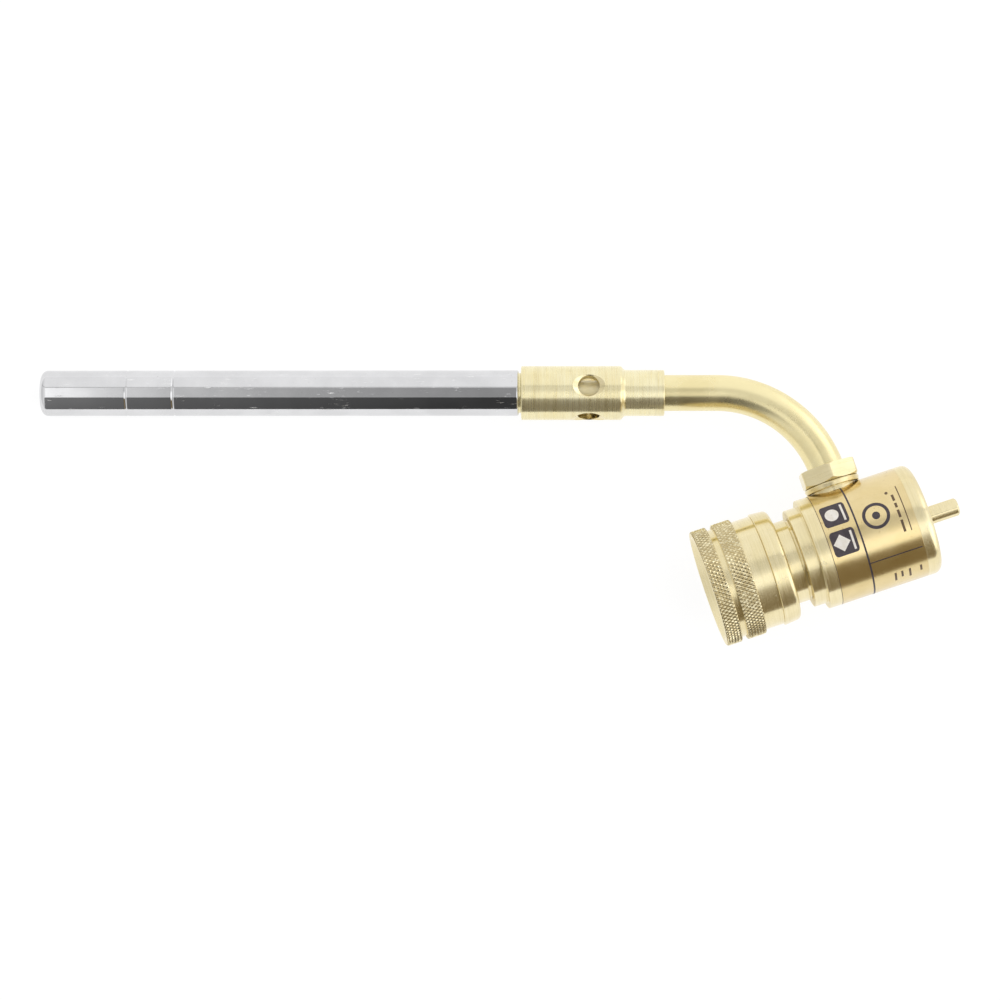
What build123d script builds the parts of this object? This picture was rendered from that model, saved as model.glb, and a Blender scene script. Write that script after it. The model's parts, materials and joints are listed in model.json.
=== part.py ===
from build123d import *
import os
from math import atan, cos, radians, sin, sqrt, tan

# A brass hand torch head for glass work at the bench: a regulator that screws on to a small fuel
# cylinder, and a bent gas tube that carries a mixer and a plain burn tube. It is modelled lying on
# a table, on the rim of its knurled coupling, the edge of its cap and the lip of its burn tube.
# Everything is turned about one of three axes that lie in one plane: the burner's, measured from
# the burn tube's tip; the regulator's, measured from the coupling's mouth; and the outlet's,
# measured outwards from the regulator's axis. An outline is a list of (distance, radius) points.

# ---- driving dimensions, in millimetres and degrees ----
lean = 18.5  # the regulator's axis against the burner's
bend_start = 187.4  # on the burner's axis, where the gas tube starts to turn
bend_radius = 32.0
bend_end = 20.6  # on the outlet's axis, where the turn ends
outlet_at = 41.6  # on the regulator's axis, where the outlet stands

# burner
tube_length, tube_r, tube_bore = 132.6, 6.35, 5.55
tip_round, tail_round = 1.9, 0.5  # outer edges of the tube's two ends
lip_bore, lip_wall = 4.4, 0.8  # the tip is rolled inwards to a lip
crimps = (24.0, 37.0)  # rings rolled into the tube, which hold the swirl vanes
crimp_depth, crimp_half = 0.15, 0.45
spigot_end = 121.5  # how far the mixer reaches into the tube
mixer_start, mixer_step, mixer_end = 133.3, 160.9, 172.9
mixer_r, mixer_tail_r, mixer_cone = 7.5, 6.4, 1.0
air_at, air_r, air_sink_r, air_sink_angle = 152.0, 3.0, 4.45, 118
air_count, air_turn = 4, 8.5  # air_turn: the first hole against the normal of the torch's plane
chamber_start, chamber_end, chamber_r = 145.5, 157.0, 4.8
throat_start, throat_end, throat_r = 139.0, 142.0, 3.2
nose_start, nose_r, jet_thread_r = 147.3, 3.5, 4.2
jet_tip, jet_end, jet_r, jet_way_r, jet_hole_r = 146.9, 151.0, 1.6, 1.1, 0.25
jet_filter_start, jet_filter_r = 158.0, 2.6
gas_tube_in, gas_tube_r, gas_tube_bore = 165.0, 5.0, 4.0
gas_tube_end = 17.0  # on the outlet's axis
swirl_gap, swirl_r, swirl_hub = 0.5, 5.5, 1.5
vane_count, vane_angle, vane_sheet = 6, 35, 0.7
edge = 0.7  # chamfer on the turned parts of the burner

# coupling nut, a union nut that spins on the nipple
knurl_r, knurl_chamfer = 16.5, 0.3
knurl_1, groove, knurl_2 = 4.35, 6.0, 11.3  # where each band ends
groove_r, front_r, back_r, back_end_r = 15.4, 15.5, 16.0, 15.7
nut_seam, nut_end, nut_round = 16.8, 21.8, 1.3
thread_r, thread_start, thread_end = 12.2, 2.7, 8.8  # minor radius of the 1"-20 cylinder thread
relief_r, nut_wall = 12.7, 19.6
journal_r, running = 10.5, 0.05

# inlet nipple
probe_tip, probe_r, probe_root = 9.2, 4.4, 14.6
shoulder_r, shoulder_end = 12.1, 19.5
tail_r, tail_end, tail_seat = 7.5, 31.0, 32.0
seal_inner, seal_outer, seal_start = 4.6, 11.4, 13.2
pin_r, pin_tip, pin_head_r = 0.8, 8.9, 2.6
pin_head_start, pin_head_end = 18.0, 20.0
way_r, filter_r, filter_start, filter_end = 1.6, 3.4, 22.0, 26.0

# regulator body and cap
neck_start, neck_end, neck_r, undercut_r = 21.95, 25.5, 11.6, 10.9
flange_start, flange_end, flange_r = 26.3, 30.0, 13.85
body_r, label_r, label_start, label_end = 15.55, 15.45, 33.5, 58.4
high_r, high_end, web_end, web_hole_r = 4.2, 36.9, 37.8, 1.6
low_r, cup_r, ledge, body_end = 11.0, 13.6, 46.0, 49.3
cap_band_end, cap_end = 60.5, 62.7
label_gap = 0.15
spring_room_r, spring_room_end = 9.5, 55.8

# valve train
seat_start, seat_hole_r = 35.9, 1.4
poppet_start, poppet_r, poppet_cone, poppet_stem_r = 33.2, 2.8, 34.6, 0.7
poppet_spring_r, poppet_wire = 2.4, 0.5
diaphragm_t, washer_t, washer_inner = 0.8, 0.3, 10.6
plate_r, plate_t, pilot_r, pilot_height = 9.0, 1.0, 5.6, 1.0
control_spring_r, control_wire = 6.8, 1.0
button_start, button_end, button_r = 54.0, 55.2, 8.8
ball_r, ball_at, ball_socket = 1.2, 55.7, 1.3
stem_start, stem_head_end, stem_thread_r = 56.2, 59.8, 3.95
shank_r, stub_r, stub_start, stub_end = 2.7, 2.5, 62.8, 72.4
stub_chamfer = 0.5
flat_half_angle, flat_turn = 40, 30
dust_seal_start, dust_seal_end, dust_seal_r = 60.8, 62.0, 3.9

# outlet
outlet_tail_r, outlet_bore, seal_hole_r = 3.6, 2.5, 3.6
outlet_in, outlet_seat, outlet_neck_r = 10.6, 14.4, 6.1
collar_start, collar_end, collar_r, collar_foot_r = 15.7, 17.15, 7.8, 7.5
outlet_thread_r, outlet_top, outlet_socket = 6.3, 20.3, 15.5
nut_flats, nut_start, nut_top, nut_lip, nut_hole_r = 15.0, 17.3, 21.9, 21.1, 5.3
ring_r = 6.1

# ---- the way it lies ----
# In the torch's own plane x runs along the burner and y across it, towards the burner's side.
along = Vector(cos(radians(lean)), sin(radians(lean)), 0)  # the regulator's axis
outward = Vector(-sin(radians(lean)), cos(radians(lean)), 0)  # the outlet's axis
normal = Vector(0, 0, 1)
bend_turn = 90 - lean
bend_exit = Vector(
    bend_start + bend_radius * sin(radians(bend_turn)),
    bend_radius * (cos(radians(bend_turn)) - 1),
    0,
)
foot = bend_exit - outward * bend_end  # where the outlet's axis meets the regulator's
mouth = foot - along * outlet_at

# Up is the direction in which the coupling's rim, the cap's edge and the tube's lip are level.
rim_at = knurl_2 - knurl_chamfer
pitch = atan((knurl_r - body_r) / (cap_band_end - rim_at))
lip = Vector(tip_round, 0, 0) - mouth
up_along = -sin(pitch)
rest_depth = knurl_r * cos(pitch) - rim_at * up_along
up_outward = (tube_r - rest_depth - lip.dot(along) * up_along) / lip.dot(outward)
up_normal = sqrt(1 - up_along**2 - up_outward**2)
up = along * up_along + outward * up_outward + normal * up_normal
east = (Vector(1, 0, 0) - up * up.X).normalized()
north = up.cross(east)


def reach(centre, axis, radius, way):
    """How far a ring reaches in a direction."""
    return centre.dot(way) + radius * sqrt(1 - axis.dot(way) ** 2)


burner_axis = Vector(1, 0, 0)
west_end = -reach(Vector(0, 0, 0), burner_axis, tube_r - tip_round, -east)
east_end = reach(mouth + along * stub_end, along, stub_r - stub_chamfer, east)
north_end = reach(Vector(mixer_start, 0, 0), burner_axis, mixer_r, north)
south_end = -reach(mouth + along * knurl_chamfer, along, knurl_r, -north)
middle = east * ((west_end + east_end) / 2) + north * ((north_end + south_end) / 2)
low = mouth.dot(up) - rest_depth


def in_row(point):
    """A direction of the torch's plane in the part's own frame."""
    return Vector(point.dot(east), point.dot(north), point.dot(up))


def place(point):
    """A point of the torch's plane in the part's own frame, with z = 0 on the table."""
    return in_row(point - middle) - Vector(0, 0, low)


# Each section plane has its x along one of the three axes and its y across it in the torch's plane.
burner = Plane(place(Vector(0, 0, 0)), x_dir=in_row(burner_axis), z_dir=in_row(normal))
regulator = Plane(place(mouth), x_dir=in_row(along), z_dir=in_row(normal))
outlet = Plane(place(foot), x_dir=in_row(outward), z_dir=in_row(normal))


def across(section, distance, turn=0):
    """The plane across a section's axis, its x turned from the torch's normal towards y."""
    way = section.z_dir * cos(radians(turn)) + section.y_dir * sin(radians(turn))
    return Plane(section.origin + section.x_dir * distance, x_dir=way, z_dir=section.x_dir)


def turned(section, *outline, mode=Mode.ADD):
    """Turn an outline of (distance, radius) points about the section's axis."""
    with BuildSketch(section) as profile:
        with BuildLine():
            Polyline(*outline, close=True)
        make_face()
    revolve(profile.sketch, axis=Axis(section.origin, section.x_dir), mode=mode)


def barrel(section, start, end, outer, inner=0):
    """A plain turned ring or disc."""
    turned(section, (start, inner), (end, inner), (end, outer), (start, outer))


def bored(section, start, end, radius):
    """A round hole along the section's axis."""
    turned(section, (start, 0), (end, 0), (end, radius), (start, radius), mode=Mode.SUBTRACT)


def rims(piece, section, distance, radius):
    """The round edges of a radius at a distance along the section's axis."""
    near = 0.01

    def here(edge):
        at = section.to_local_coords(edge.arc_center).X
        return abs(edge.radius - radius) < near and abs(at - distance) < near

    return piece.edges().filter_by(GeomType.CIRCLE).filter_by(here)


def coil(section, start, end, radius, wire, turns):
    """A wire spring along the section's axis, from face to face."""
    rise = end - start - wire
    first = across(section, start + wire / 2).origin
    route = Helix(rise / turns, rise, radius, first, section.x_dir, mode=Mode.PRIVATE)
    with BuildSketch(Plane(route @ 0, x_dir=section.x_dir, z_dir=route % 0)) as ring:
        Circle(wire / 2)
    sweep(ring.sketch, path=route, is_frenet=True)


# ---- burner ----
crimp_out = []
crimp_in = []
for crimp in crimps:
    crimp_out += [
        (crimp - crimp_half, tube_r),
        (crimp, tube_r - crimp_depth),
        (crimp + crimp_half, tube_r),
    ]
    crimp_in += [
        (crimp - crimp_half, tube_bore),
        (crimp, tube_bore - crimp_depth),
        (crimp + crimp_half, tube_bore),
    ]
with BuildPart() as burn_tube:
    turned(
        burner,
        (0, tube_r),
        *crimp_out,
        (tube_length, tube_r),
        (tube_length, tube_bore),
        *reversed(crimp_in),
        (lip_wall, tube_bore),
        (lip_wall, lip_bore),
        (0, lip_bore),
    )
    fillet(rims(burn_tube, burner, 0, tube_r), tip_round)
    fillet(rims(burn_tube, burner, lip_wall, tube_bore), tube_bore - lip_bore - running)
    fillet(rims(burn_tube, burner, tube_length, tube_r), tail_round)

swirl_start = crimps[0] + swirl_gap
swirl_end = crimps[1] - swirl_gap
with BuildPart(across(burner, (swirl_start + swirl_end) / 2)) as swirl_vanes:
    with PolarLocations(0, vane_count):
        Box(
            2 * swirl_r,
            vane_sheet,
            tube_length,
            rotation=(vane_angle, 0, 0),
            align=(Align.MIN, Align.CENTER, Align.CENTER),
        )
    barrel(burner, swirl_start, swirl_end, swirl_hub)
    turned(
        burner,
        (swirl_start, 0),
        (swirl_end, 0),
        (swirl_end, swirl_r),
        (swirl_start, swirl_r),
        mode=Mode.INTERSECT,
    )

with BuildPart() as mixer_body:
    turned(
        burner,
        (spigot_end, tube_bore - edge),
        (spigot_end + edge, tube_bore),
        (mixer_start, tube_bore),
        (mixer_start, mixer_r - edge),
        (mixer_start + edge, mixer_r),
        (mixer_step, mixer_r),
        (mixer_step + mixer_cone, mixer_tail_r),
        (mixer_end - edge, mixer_tail_r),
        (mixer_end, mixer_tail_r - edge),
        (mixer_end, gas_tube_r),
        (gas_tube_in, gas_tube_r),
        (gas_tube_in, jet_thread_r),
        (chamber_end, jet_thread_r),
        (chamber_end, chamber_r),
        (chamber_start, chamber_r),
        (throat_end, throat_r),
        (throat_start, throat_r),
        (spigot_end, tube_bore - 2 * edge),
    )
    for hole in range(air_count):
        drilled = across(burner, air_at, air_turn + hole * 360 / air_count)
        surface = Plane(
            drilled.origin + drilled.x_dir * mixer_r, x_dir=burner.x_dir, z_dir=drilled.x_dir
        )
        with Locations(surface):
            CounterSinkHole(air_r, air_sink_r, mixer_r - air_r, air_sink_angle)

with BuildPart() as jet_holder:
    turned(
        burner,
        (nose_start, jet_r),
        (nose_start, nose_r - edge),
        (nose_start + edge, nose_r),
        (chamber_end, nose_r),
        (chamber_end, jet_thread_r),
        (gas_tube_in, jet_thread_r),
        (gas_tube_in, jet_filter_r),
        (jet_filter_start, jet_filter_r),
        (jet_filter_start - 1.5, jet_way_r),
        (jet_end, jet_way_r),
        (jet_end, jet_r),
    )

with BuildPart() as gas_jet:
    turned(
        burner,
        (jet_tip, jet_hole_r),
        (jet_tip, jet_r - edge),
        (nose_start, jet_r),
        (jet_end, jet_r),
        (jet_end, jet_way_r),
        (nose_start + 1.5, jet_hole_r),
    )

with BuildPart() as jet_filter:
    barrel(burner, jet_filter_start + 1, gas_tube_in - 1, jet_filter_r)

tail = outward * (bend_end - gas_tube_end)
with BuildPart() as gas_tube:
    with BuildLine(burner):
        Line((gas_tube_in, 0), (bend_start, 0))
        CenterArc((bend_start, -bend_radius), bend_radius, 90, -bend_turn)
        Line((bend_exit.X, bend_exit.Y), (bend_exit.X - tail.X, bend_exit.Y - tail.Y))
    with BuildSketch(across(burner, gas_tube_in)):
        Circle(gas_tube_r)
        Circle(gas_tube_bore, mode=Mode.SUBTRACT)
    sweep()

with BuildPart() as tube_ring:
    barrel(outlet, outlet_top, nut_lip - running, ring_r, (gas_tube_r + gas_tube_bore) / 2)
    add(gas_tube.part, mode=Mode.SUBTRACT)

# ---- outlet union ----
with BuildPart() as swivel_seal:
    barrel(outlet, outlet_socket + 2 * running, gas_tube_end, gas_tube_r - running, seal_hole_r)

with BuildPart() as outlet_nipple:
    turned(
        outlet,
        (outlet_in, outlet_bore),
        (outlet_in, outlet_tail_r),
        (outlet_seat, outlet_tail_r),
        (outlet_seat, outlet_neck_r),
        (collar_start, outlet_neck_r),
        (collar_start, collar_foot_r),
        (collar_end - 0.3, collar_r),
        (collar_end, collar_r - 0.3),
        (collar_end, outlet_thread_r),
        (outlet_top - 0.3, outlet_thread_r),
        (outlet_top, outlet_thread_r - 0.3),
        (outlet_top, gas_tube_r + running),
        (outlet_socket, gas_tube_r + running),
        (outlet_socket, outlet_bore),
    )

corner_r = nut_flats / sqrt(3)
chamfer_height = (corner_r - nut_flats / 2) * tan(radians(30))
with BuildPart() as swivel_nut:
    with BuildSketch(across(outlet, nut_start)):
        RegularPolygon(nut_flats / 2, 6, major_radius=False)
    extrude(amount=nut_top - nut_start)
    turned(
        outlet,
        (nut_start, 0),
        (nut_start, nut_flats / 2),
        (nut_start + chamfer_height, corner_r),
        (nut_top - chamfer_height / 2, corner_r),
        (nut_top, (corner_r + nut_flats / 2) / 2),
        (nut_top, 0),
        mode=Mode.INTERSECT,
    )
    bored(outlet, nut_start, nut_lip, outlet_thread_r + running)
    bored(outlet, nut_lip, nut_top, nut_hole_r)

# ---- cylinder inlet ----
rim = knurl_chamfer
with BuildPart() as coupling_nut:
    turned(
        regulator,
        (0, thread_r + thread_start),
        (0, knurl_r - rim),
        (rim, knurl_r),
        (knurl_1 - rim, knurl_r),
        (knurl_1, knurl_r - rim),
        (knurl_1, groove_r),
        (groove, groove_r),
        (groove, knurl_r - rim),
        (groove + rim, knurl_r),
        (knurl_2 - rim, knurl_r),
        (knurl_2, knurl_r - rim),
        (knurl_2, front_r),
        (nut_seam, front_r),
        (nut_seam, back_r - rim),
        (nut_seam + rim, back_r),
        (nut_end, back_end_r),
        (nut_end, journal_r + running),
        (nut_wall, journal_r + running),
        (nut_wall, relief_r),
        (thread_end, relief_r),
        (thread_end, thread_r),
        (thread_start, thread_r),
    )
    fillet(rims(coupling_nut, regulator, nut_end, back_end_r), nut_round)

with BuildPart() as inlet_nipple:
    turned(
        regulator,
        (probe_tip, way_r),
        (probe_tip, probe_r - edge),
        (probe_tip + edge, probe_r),
        (probe_root, probe_r),
        (probe_root, shoulder_r),
        (shoulder_end, shoulder_r),
        (shoulder_end, journal_r),
        (neck_start, journal_r),
        (neck_start, tail_r),
        (tail_end, tail_r),
        (tail_end, filter_r),
        (filter_start, filter_r),
        (filter_start, pin_head_r),
        (pin_head_start, pin_head_r),
        (pin_head_start, way_r),
    )

with BuildPart() as inlet_seal:
    barrel(regulator, seal_start, probe_root, seal_outer, seal_inner)

with BuildPart() as depressor_pin:
    barrel(regulator, pin_tip, pin_head_start, pin_r)
    fillet(rims(depressor_pin, regulator, pin_tip, pin_r), pin_r / 2)
    with BuildSketch(across(regulator, pin_head_start)):
        Circle(pin_head_r)
        with PolarLocations(pin_head_r, 3):
            Circle(pin_r, mode=Mode.SUBTRACT)
    extrude(amount=pin_head_end - pin_head_start)

with BuildPart() as inlet_filter:
    barrel(regulator, filter_start, filter_end, filter_r)

with BuildPart() as nipple_seal:
    barrel(regulator, tail_end, tail_seat, tail_r, high_r)

# ---- regulator ----
with BuildPart() as regulator_body:
    turned(
        regulator,
        (neck_start, tail_r),
        (neck_start, neck_r),
        (neck_end, neck_r),
        (neck_end, undercut_r),
        (flange_start, undercut_r),
        (flange_start, flange_r),
        (flange_end, flange_r),
        (flange_end, body_r - rim),
        (flange_end + rim, body_r),
        (label_start, body_r),
        (label_start, label_r),
        (body_end, label_r),
        (body_end, cup_r),
        (ledge, cup_r),
        (ledge, low_r),
        (web_end, low_r),
        (web_end, web_hole_r),
        (high_end, web_hole_r),
        (high_end, high_r),
        (tail_seat, high_r),
        (tail_seat, tail_r),
    )
    bored(outlet, low_r / 2, body_r, outlet_tail_r)
    bored(outlet, outlet_seat, 2 * body_r, outlet_neck_r)

with BuildPart() as valve_seat:
    barrel(regulator, seat_start, high_end, high_r, seat_hole_r)

seat_slope = (poppet_r - seat_hole_r) / (seat_start - poppet_cone)
with BuildPart() as poppet:
    turned(
        regulator,
        (poppet_start, 0),
        (poppet_start, poppet_r),
        (poppet_cone, poppet_r),
        (poppet_cone + (poppet_r - poppet_stem_r) / seat_slope, poppet_stem_r),
        (ledge, poppet_stem_r),
        (ledge, 0),
    )

with BuildPart() as poppet_spring:
    coil(regulator, filter_end, poppet_start, poppet_spring_r, poppet_wire, 6)

plate_start = ledge + diaphragm_t
plate_end = plate_start + plate_t
with BuildPart() as diaphragm:
    barrel(regulator, ledge, plate_start, cup_r)

with BuildPart() as slip_washer:
    barrel(regulator, plate_start, plate_start + washer_t, cup_r, washer_inner)

with BuildPart() as diaphragm_plate:
    barrel(regulator, plate_start, plate_end, plate_r)
    barrel(regulator, plate_end, plate_end + pilot_height, pilot_r)

with BuildPart() as control_spring:
    coil(regulator, plate_end, button_start, control_spring_r, control_wire, 2.5)

with BuildPart() as spring_button:
    barrel(regulator, button_start, button_end, button_r)
    barrel(regulator, button_start - pilot_height, button_start, pilot_r)
    with Locations(across(regulator, ball_at)):
        Sphere(ball_socket, mode=Mode.SUBTRACT)

with BuildPart() as thrust_ball:
    with Locations(across(regulator, ball_at)):
        Sphere(ball_r)

with BuildPart() as valve_stem:
    turned(
        regulator,
        (stem_start, 0),
        (stem_start, stem_thread_r - rim),
        (stem_start + rim, stem_thread_r),
        (stem_head_end, stem_thread_r),
        (stem_head_end, shank_r),
        (stub_start, shank_r),
        (stub_start, stub_r),
        (stub_end - stub_chamfer, stub_r),
        (stub_end, stub_r - stub_chamfer),
        (stub_end, 0),
    )
    with Locations(across(regulator, ball_at)):
        Sphere(ball_socket, mode=Mode.SUBTRACT)
    with BuildSketch(across(regulator, stub_start, flat_turn)) as flat:
        with Locations((stub_r * cos(radians(flat_half_angle)), 0)):
            Rectangle(stub_r, 2 * stub_r, align=(Align.MIN, Align.CENTER))
    extrude(flat.sketch, amount=stub_end, mode=Mode.SUBTRACT)

cap_start = plate_start + washer_t
stem_bore = stem_thread_r + running
shank_bore = shank_r + running
with BuildPart() as regulator_cap:
    turned(
        regulator,
        (cap_start, spring_room_r),
        (cap_start, cup_r),
        (body_end, cup_r),
        (body_end, label_r),
        (label_end, label_r),
        (label_end, body_r),
        (cap_end, body_r),
        (cap_end, shank_bore),
        (dust_seal_end, shank_bore),
        (dust_seal_end, dust_seal_r),
        (dust_seal_start, dust_seal_r),
        (dust_seal_start, shank_bore),
        (stem_head_end + running, shank_bore),
        (stem_head_end + running, stem_bore),
        (spring_room_end, stem_bore),
        (spring_room_end, spring_room_r),
    )
    fillet(rims(regulator_cap, regulator, cap_end, body_r), cap_end - cap_band_end)

with BuildPart() as dust_seal:
    barrel(regulator, dust_seal_start, dust_seal_end, dust_seal_r, shank_bore)

with BuildPart() as label_band:
    barrel(regulator, label_start, label_end, body_r, label_r)
    bored(outlet, low_r, 2 * body_r, outlet_neck_r + label_gap)

# ---- files ----
pieces = {
    "burn_tube": burn_tube,
    "swirl_vanes": swirl_vanes,
    "mixer_body": mixer_body,
    "jet_holder": jet_holder,
    "gas_jet": gas_jet,
    "jet_filter": jet_filter,
    "gas_tube": gas_tube,
    "tube_ring": tube_ring,
    "swivel_seal": swivel_seal,
    "outlet_nipple": outlet_nipple,
    "swivel_nut": swivel_nut,
    "coupling_nut": coupling_nut,
    "inlet_nipple": inlet_nipple,
    "inlet_seal": inlet_seal,
    "depressor_pin": depressor_pin,
    "inlet_filter": inlet_filter,
    "nipple_seal": nipple_seal,
    "regulator_body": regulator_body,
    "valve_seat": valve_seat,
    "poppet": poppet,
    "poppet_spring": poppet_spring,
    "diaphragm": diaphragm,
    "slip_washer": slip_washer,
    "diaphragm_plate": diaphragm_plate,
    "control_spring": control_spring,
    "spring_button": spring_button,
    "thrust_ball": thrust_ball,
    "valve_stem": valve_stem,
    "regulator_cap": regulator_cap,
    "dust_seal": dust_seal,
    "label_band": label_band,
}
os.makedirs("parts", exist_ok=True)
for name, piece in pieces.items():
    piece.part.label = name
    export_step(piece.part, f"parts/{name}.step")
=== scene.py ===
"""Looks for the lampwork torch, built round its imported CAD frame.

Distances along and across the torch's three axes are in millimetres, as in the CAD source;
Blender objects are in metres, in the row's own frame.
"""

import json
import math

import bmesh
import bpy
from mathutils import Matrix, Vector


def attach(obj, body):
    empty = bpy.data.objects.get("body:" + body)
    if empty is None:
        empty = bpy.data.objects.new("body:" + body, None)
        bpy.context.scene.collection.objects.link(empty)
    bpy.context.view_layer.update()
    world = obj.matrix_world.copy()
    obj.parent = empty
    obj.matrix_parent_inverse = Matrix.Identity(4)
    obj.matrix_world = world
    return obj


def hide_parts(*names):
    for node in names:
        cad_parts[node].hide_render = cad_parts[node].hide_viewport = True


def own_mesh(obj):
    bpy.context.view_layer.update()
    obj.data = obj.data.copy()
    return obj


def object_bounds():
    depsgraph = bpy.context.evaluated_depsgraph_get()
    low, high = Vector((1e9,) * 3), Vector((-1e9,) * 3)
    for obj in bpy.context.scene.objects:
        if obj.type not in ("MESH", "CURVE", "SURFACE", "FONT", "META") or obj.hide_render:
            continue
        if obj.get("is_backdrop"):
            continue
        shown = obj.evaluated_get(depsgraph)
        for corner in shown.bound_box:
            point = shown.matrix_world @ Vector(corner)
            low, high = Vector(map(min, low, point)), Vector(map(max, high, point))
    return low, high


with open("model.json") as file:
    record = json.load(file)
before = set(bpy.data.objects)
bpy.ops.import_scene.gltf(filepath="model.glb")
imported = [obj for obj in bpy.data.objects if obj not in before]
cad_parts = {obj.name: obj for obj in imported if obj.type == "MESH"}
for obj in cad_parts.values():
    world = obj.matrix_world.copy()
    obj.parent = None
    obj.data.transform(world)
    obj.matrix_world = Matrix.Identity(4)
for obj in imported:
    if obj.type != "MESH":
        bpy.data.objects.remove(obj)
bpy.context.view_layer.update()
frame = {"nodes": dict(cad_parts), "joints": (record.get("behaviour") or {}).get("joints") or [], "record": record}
MM = 0.001
TURN = 2 * math.pi

# ---- the three axes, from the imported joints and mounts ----
joints = {joint["name"]: joint for joint in frame["joints"]}
mounts = {mount["name"]: mount for mount in frame["record"]["mounts"]}
nut_seam, outlet_top, clamp_middle = 16.8, 20.3, 84.775  # where the frame's points stand


class Section:
    """One turning axis: a distance along it, a radius and an angle from the torch's normal."""

    def __init__(self, known_point, along, known_distance):
        self.along = Vector(along).normalized()
        self.origin = Vector(known_point) - self.along * known_distance * MM

    def face(self, normal):
        """Set where angle 0 is: the way nearest to normal that is square to the axis."""
        self.up = (normal - self.along * normal.dot(self.along)).normalized()
        self.side = self.up.cross(self.along)

    def at(self, distance, radius=0, angle=0):
        """The point in metres at a distance and radius in millimetres and an angle in radians."""
        out = self.up * math.cos(angle) + self.side * math.sin(angle)
        return self.origin + (self.along * distance + out * radius) * MM


clamp = mounts["burn_tube_clamp_length"]
regulator = Section(joints["coupling_spin"]["pos_m"], joints["coupling_spin"]["axis"], nut_seam)
outlet = Section(joints["burner_swivel"]["pos_m"], joints["burner_swivel"]["axis"], outlet_top)
burner = Section(clamp["pos_m"], [-part for part in clamp["axis"]], clamp_middle)
torch_normal = regulator.along.cross(outlet.along)
for section in (regulator, outlet, burner):
    section.face(torch_normal)

# ---- sizes shared with the CAD source, in millimetres ----
tube_length, tube_r, tube_bore = 132.6, 6.35, 5.55
tip_round, tail_round, lip_bore, lip_wall = 1.9, 0.5, 4.4, 0.8
crimps, crimp_half = (24.0, 37.0), 0.45
spigot_end, mixer_start, mixer_step, mixer_end = 121.5, 133.3, 160.9, 172.9
mixer_r, mixer_tail_r, mixer_cone = 7.5, 6.4, 1.0
air_at, air_r, air_sink_r, air_sink_angle, air_count, air_turn = 152.0, 3.0, 4.45, 118, 4, 8.5
chamber_start, chamber_end, chamber_r = 145.5, 157.0, 4.8
throat_start, throat_end, throat_r, jet_thread_r = 139.0, 142.0, 3.2, 4.2
bend_start, bend_radius, bend_end = 187.4, 32.0, 20.6
gas_tube_in, gas_tube_r, gas_tube_bore, gas_tube_end = 165.0, 5.0, 4.0, 17.0
knurl_r, knurl_chamfer, knurl_1, groove, knurl_2 = 16.5, 0.3, 4.35, 6.0, 11.3
groove_r, front_r, back_r, back_end_r, nut_end = 15.4, 15.5, 16.0, 15.7, 21.8
thread_r, thread_start, thread_end, thread_pitch = 12.2, 2.7, 8.8, 1.27
relief_r, nut_wall, journal_r, running = 12.7, 19.6, 10.55, 0.05
tail_r, tail_seat, neck_start, neck_end, neck_r, undercut_r = 7.5, 32.0, 21.95, 25.5, 11.6, 10.9
flange_start, flange_end, flange_r = 26.3, 30.0, 13.85
body_r, label_r, label_start, label_end = 15.55, 15.45, 33.5, 58.4
high_r, high_end, web_end, web_hole_r = 4.2, 36.9, 37.8, 1.6
low_r, cup_r, ledge, body_end = 11.0, 13.6, 46.0, 49.3
cap_start, cap_band_end, cap_end, spring_room_r, spring_room_end = 47.1, 60.5, 62.7, 9.5, 55.8
plate_end, button_start, control_spring_r, control_wire = 47.8, 54.0, 6.8, 1.0
filter_end, poppet_start, poppet_spring_r, poppet_wire = 26.0, 33.2, 2.4, 0.5
stem_start, stem_head_end, stem_thread_r, stem_pitch = 56.2, 59.8, 3.95, 1.25
shank_r, stub_r, stub_start, stub_end, stub_chamfer = 2.7, 2.5, 62.8, 72.4, 0.5
flat_half_angle, flat_turn, stem_bore, shank_bore = 40, 30, 4.0, 2.75
dust_seal_start, dust_seal_end, dust_seal_r = 60.8, 62.0, 3.9
outlet_tail_r, outlet_bore, outlet_in, outlet_seat, outlet_neck_r = 3.6, 2.5, 10.6, 14.4, 6.1
collar_start, collar_end, collar_r, collar_foot_r = 15.7, 17.15, 7.8, 7.5
outlet_thread_r, outlet_socket = 6.3, 15.5
hex_flats, hex_start, hex_top, hex_lip, hex_hole_r = 15.0, 17.3, 21.9, 21.1, 5.3


# ---- meshes ----
JOINED, CUT_JOINED = 1e-7, 3e-6  # metres: doubled points, and the slivers that a cut leaves
ON_RADIUS = 0.01  # millimetres: how near a radius is to count as the one named


def cleaned(mesh, reach, smooth_below=30):
    """Join points nearer than reach metres, drop faces with no area and mark sharp edges."""
    work = bmesh.new()
    work.from_mesh(mesh)
    bmesh.ops.remove_doubles(work, verts=work.verts, dist=reach)
    bmesh.ops.dissolve_degenerate(work, edges=work.edges, dist=reach)
    work.to_mesh(mesh)
    work.free()
    mesh.polygons.foreach_set("use_smooth", [True] * len(mesh.polygons))
    mesh.set_sharp_from_angle(angle=math.radians(smooth_below))


def piece(name, points, faces, body, smooth_below=30):
    """A mesh object that rides on a body; edges sharper than smooth_below degrees stay sharp."""
    mesh = bpy.data.meshes.new(name)
    mesh.from_pydata([tuple(point) for point in points], [], faces)
    mesh.validate()
    cleaned(mesh, JOINED, smooth_below)
    made = bpy.data.objects.new(name, mesh)
    bpy.context.scene.collection.objects.link(made)
    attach(made, body)
    return made


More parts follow.
